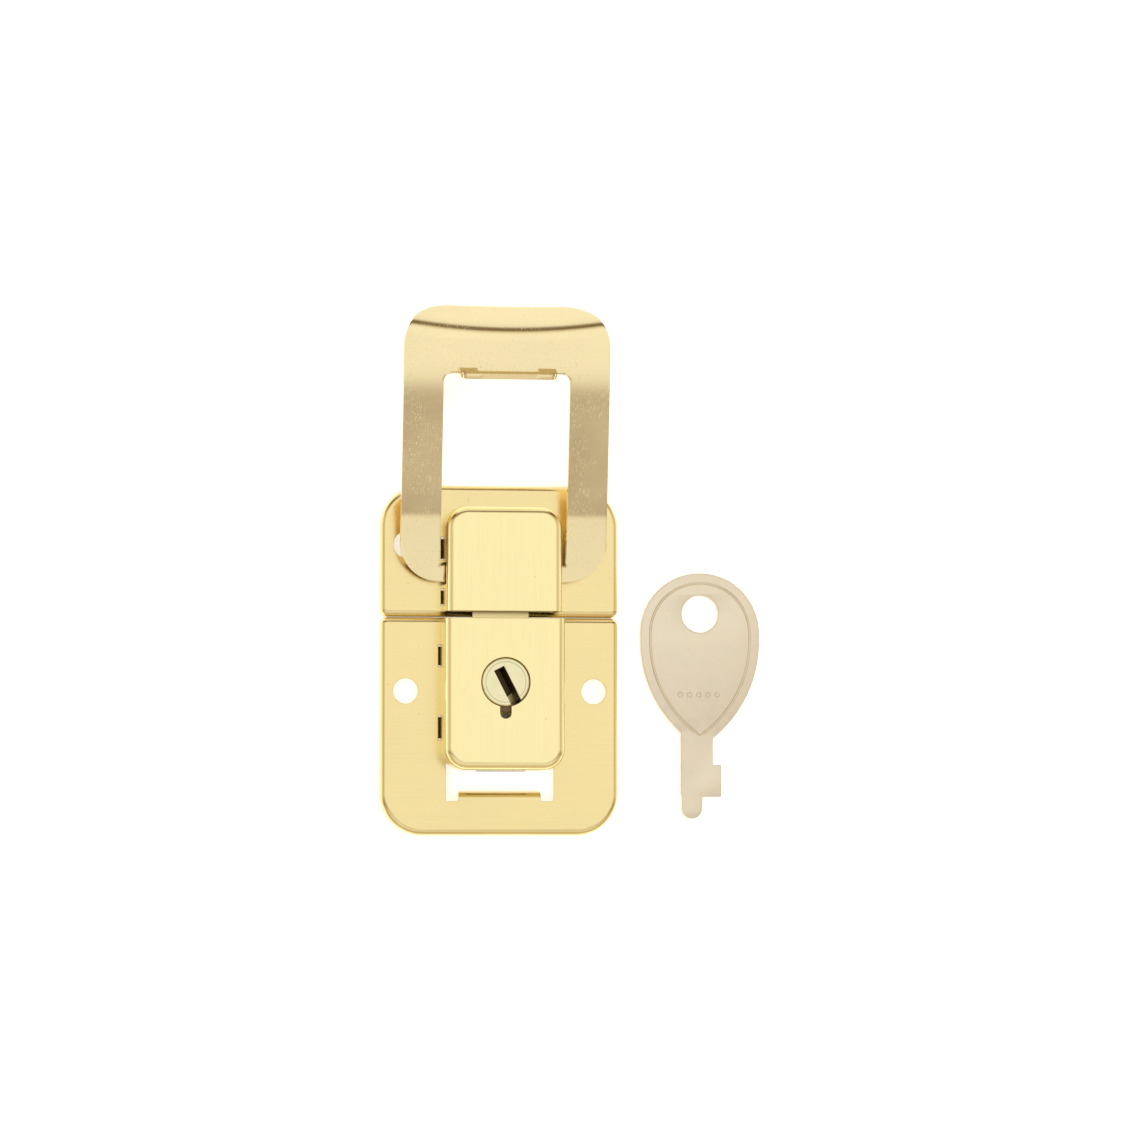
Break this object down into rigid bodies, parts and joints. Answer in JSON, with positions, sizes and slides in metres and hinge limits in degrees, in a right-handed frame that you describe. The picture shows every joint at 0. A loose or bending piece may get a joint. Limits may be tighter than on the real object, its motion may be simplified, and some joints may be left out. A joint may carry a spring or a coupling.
{
  "type": "lockable case latch",
  "caption": "Lockable draw-loop latch for a box or case: a slotted loop hinged on the lid half shuts over a key-operated bolt in the lock half, with its flat key beside it.",
  "frame": {"origin": "midpoint between the lock plate's two screw holes, in the latch's back plane", "axes": "+Z out of the front face, +Y from the lock half towards the lid half, +X to the right seen from the front"},
  "size_m": [0.0612, 0.0838, 0.0127],
  "materials": {
    "brass_plate": "gloss",
    "brass_cover": "gloss",
    "brass_plug": "gloss",
    "brass_loop": "gloss",
    "zinc_steel": "satin",
    "spring_steel": "satin",
    "nickel": "satin"
  },
  "bodies": {
    "lock_half": {"lock_plate": "brass_plate", "lock_cover": "brass_cover", "bolt_rivets": "zinc_steel", "bolt_spring": "spring_steel"},
    "plug": {"plug": "brass_plug", "plug_clip": "spring_steel"},
    "bolt": {"bolt": "zinc_steel"},
    "lid_half": {"lid_plate": "brass_plate", "hinge_cap": "brass_cover", "guide_tongue": "brass_plate", "hinge_spring": "spring_steel", "hinge_rivets": "zinc_steel"},
    "loop": {"loop": "brass_loop"},
    "key": {"key": "nickel"}
  },
  "joints": [
    {"name": "plug_turn", "type": "hinge", "parent": "lock_half", "child": "plug", "pos_m": [0, 0.0013, 0.0084], "axis": [0, 0, 1], "range_deg": [-27, 63]},
    {"name": "bolt_slide", "type": "slide", "parent": "lock_half", "child": "bolt", "axis": [0, -1, 0], "range_m": [-0.00096, 0.00224], "deforming": ["bolt_spring"]},
    {"name": "lid_slide", "type": "slide", "parent": "lock_half", "child": "lid_half", "axis": [0, 1, 0], "range_m": [0, 0.06]},
    {"name": "loop_swing", "type": "hinge", "parent": "lid_half", "child": "loop", "pos_m": [0, 0.0186, 0.0042], "axis": [1, 0, 0], "range_deg": [0, 172], "deforming": ["hinge_spring"]},
    {"name": "key_lift", "type": "slide", "parent": "lock_half", "child": "key", "axis": [0, 0, 1], "range_m": [0, 0.04]}
  ],
  "couplings": [
    {"joint": "plug_turn", "follows": "bolt_slide", "rad_per_m": 490.87}
  ]
}
